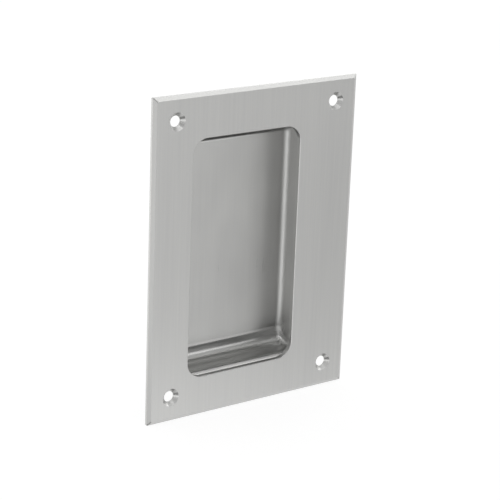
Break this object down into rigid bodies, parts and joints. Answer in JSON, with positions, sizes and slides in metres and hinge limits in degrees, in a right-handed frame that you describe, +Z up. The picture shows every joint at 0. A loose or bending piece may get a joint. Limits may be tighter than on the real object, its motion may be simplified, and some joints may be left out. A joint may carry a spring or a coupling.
{
  "type": "recessed pull handle",
  "caption": "Rectangular bevelled face plate with a deep-drawn finger pocket welded behind its offset opening and a countersunk screw hole in each corner, for a sliding door or panel.",
  "frame": {"origin": "centre of the plate's back face, which is also the centre of the four screw holes; this face lies on the door", "axes": "+X to the right seen from the front, +Y into the door, +Z up along the plate's height"},
  "size_m": [0.11, 0.0188, 0.15],
  "materials": {
    "plate_satin_steel": "satin, brushed along the plate's height",
    "tray_satin_steel": "satin, drawn sheet, finely brushed"
  },
  "bodies": {
    "root": {"front_plate": "plate_satin_steel", "pocket_tray": "tray_satin_steel"}
  },
  "joints": []
}
